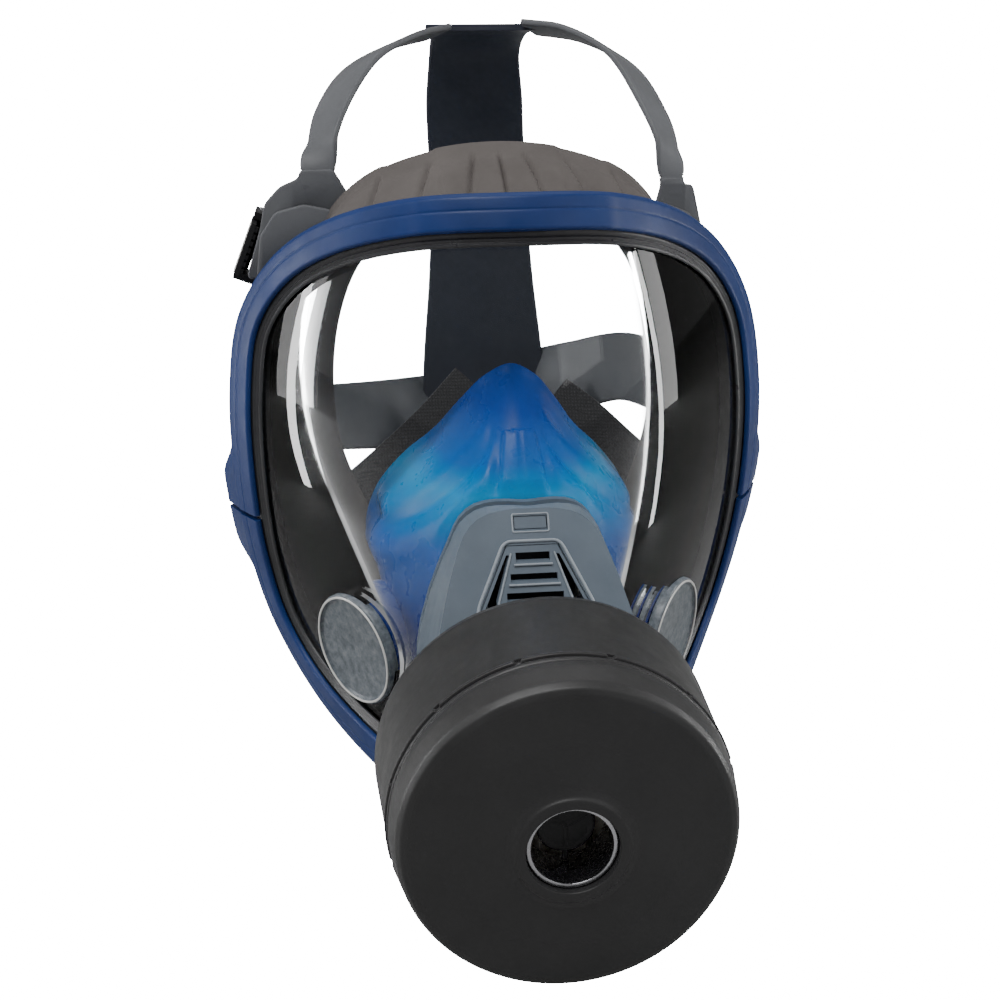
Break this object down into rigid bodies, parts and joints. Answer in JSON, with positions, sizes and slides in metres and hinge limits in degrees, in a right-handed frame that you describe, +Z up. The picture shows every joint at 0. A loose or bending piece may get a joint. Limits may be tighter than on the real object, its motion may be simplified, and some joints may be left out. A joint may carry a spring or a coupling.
{
  "type": "full face respirator",
  "caption": "Full-face breathing mask with a wide clear lens in a clamped ring, an inner nose cup, a screw-on front filter canister and a rubber head harness.",
  "frame": {"origin": "centre of the face opening, in the middle of the rubber seal that rests on the wearer's face", "axes": "+Y from the front of the mask back towards the wearer, +Z up, +X towards the wearer's right-hand side as seen from the front of the mask"},
  "size_m": [0.1922, 0.3043, 0.2736],
  "materials": {
    "clear_lens": "clear moulded polycarbonate with a hard coat",
    "grey_skirt": "matt warm grey moulded silicone rubber",
    "blue_ring": "satin-gloss dark blue moulded plastic",
    "black_rubber": "matt black rubber",
    "blue_cup": "smooth blue silicone, faintly translucent",
    "grey_housing": "satin blue-grey moulded plastic",
    "black_plastic": "fine-textured black plastic",
    "canister_black": "satin charcoal plastic",
    "inlet_steel": "bright sleeve in the air hole",
    "steel": "bright zinc-plated steel",
    "screen_aluminium": "perforated sheet",
    "filter_paper": "white pleated glass-fibre paper",
    "charcoal": "granular activated charcoal",
    "frosted_plug": "frosted translucent plastic",
    "white_plastic": "natural white plastic",
    "valve_rubber": "thin black silicone",
    "grey_strap": "matt grey rubber",
    "dark_strap": "matt blue-black rubber",
    "neck_webbing": "black woven elastic webbing"
  },
  "bodies": {
    "facepiece": {"lens": "clear_lens", "lens_gasket": "black_rubber", "clamp_ring_upper": "blue_ring", "clamp_ring_lower": "blue_ring", "ring_screw_left": "steel", "ring_screw_right": "steel", "ring_nut_left": "steel", "ring_nut_right": "steel", "facepiece_skirt": "grey_skirt", "side_port_plug_left": "frosted_plug", "side_port_plug_right": "frosted_plug", "side_duct_left": "blue_cup", "side_duct_right": "blue_cup", "check_valve_seat_left": "white_plastic", "check_valve_seat_right": "white_plastic", "nosecup": "blue_cup", "housing_cover": "grey_housing", "valve_housing": "grey_housing", "exhalation_grille": "grey_housing", "exhalation_valve_seat": "white_plastic", "port_thread_ring": "black_plastic", "port_gasket": "black_rubber", "inhalation_valve_seat": "white_plastic", "harness_band": "dark_strap", "temple_strap_left": "grey_strap", "temple_strap_right": "grey_strap", "cheek_strap_left": "grey_strap", "cheek_strap_right": "grey_strap", "neck_strap_left": "neck_webbing", "neck_strap_right": "neck_webbing", "temple_left_frame": "black_plastic", "temple_left_pin": "steel", "temple_right_frame": "black_plastic", "temple_right_pin": "steel", "cheek_left_frame": "black_plastic", "cheek_left_pin": "steel", "cheek_right_frame": "black_plastic", "cheek_right_pin": "steel"},
    "canister_neck": {"canister_neck": "black_plastic"},
    "canister": {"canister_body": "canister_black", "canister_front_cover": "canister_black", "canister_inlet_sleeve": "inlet_steel", "canister_inlet_baffle": "canister_black", "particulate_filter": "filter_paper", "sorbent_screen_front": "screen_aluminium", "sorbent_bed": "charcoal", "sorbent_screen_rear": "screen_aluminium"},
    "exhalation_flap": {"exhalation_valve_disc": "valve_rubber"},
    "inhalation_flap": {"inhalation_valve_disc": "valve_rubber"},
    "check_flap_left": {"check_valve_disc_left": "valve_rubber"},
    "check_flap_right": {"check_valve_disc_right": "valve_rubber"},
    "cover_latch": {"cover_latch": "grey_housing"},
    "temple_left_lever": {"temple_left_lever": "black_plastic"},
    "temple_right_lever": {"temple_right_lever": "black_plastic"},
    "cheek_left_lever": {"cheek_left_lever": "black_plastic"},
    "cheek_right_lever": {"cheek_right_lever": "black_plastic"}
  },
  "joints": [
    {"name": "canister_travel", "type": "slide", "parent": "facepiece", "child": "canister_neck", "axis": [0, -0.9945, -0.1045], "range_m": [0, 0.0091]},
    {"name": "canister_unscrew", "type": "hinge", "parent": "canister_neck", "child": "canister", "pos_m": [0, -0.1059, -0.0908], "axis": [0, -0.9945, -0.1045], "range_deg": [0, 900]},
    {"name": "exhalation_flap_lift", "type": "slide", "parent": "facepiece", "child": "exhalation_flap", "axis": [0, -0.9945, -0.1045], "range_m": [0, 0.002], "stiffness_N_per_m": 15},
    {"name": "inhalation_flap_lift", "type": "slide", "parent": "facepiece", "child": "inhalation_flap", "axis": [0, 0.9945, 0.1045], "range_m": [0, 0.0015], "stiffness_N_per_m": 15},
    {"name": "check_flap_left_lift", "type": "slide", "parent": "facepiece", "child": "check_flap_left", "axis": [0.8292, 0.5435, 0.1306], "range_m": [0, 0.0015], "stiffness_N_per_m": 15},
    {"name": "check_flap_right_lift", "type": "slide", "parent": "facepiece", "child": "check_flap_right", "axis": [-0.8292, 0.5435, 0.1306], "range_m": [0, 0.0015], "stiffness_N_per_m": 15},
    {"name": "cover_latch_press", "type": "slide", "parent": "facepiece", "child": "cover_latch", "axis": [0, 0.9945, 0.1045], "range_m": [0, 0.0012], "stiffness_N_per_m": 400},
    {"name": "temple_left_lever_lift", "type": "hinge", "parent": "facepiece", "child": "temple_left_lever", "pos_m": [-0.08421, 0.02933, 0.0501], "axis": [-0.3609, 0.018, -0.9324], "range_deg": [0, 35]},
    {"name": "temple_right_lever_lift", "type": "hinge", "parent": "facepiece", "child": "temple_right_lever", "pos_m": [0.08036, 0.03035, 0.02732], "axis": [-0.252, -0.0126, 0.9676], "range_deg": [0, 35]},
    {"name": "cheek_left_lever_lift", "type": "hinge", "parent": "facepiece", "child": "cheek_left_lever", "pos_m": [-0.08647, 0.03568, -0.0147], "axis": [0.0948, -0.0237, -0.9952], "range_deg": [0, 35]},
    {"name": "cheek_right_lever_lift", "type": "hinge", "parent": "facepiece", "child": "cheek_right_lever", "pos_m": [0.08647, 0.03568, -0.0147], "axis": [0.0948, 0.0237, 0.9952], "range_deg": [0, 35]}
  ],
  "couplings": [
    {"joint": "canister_travel", "follows": "canister_unscrew", "m_per_rad": 0.00057773}
  ]
}
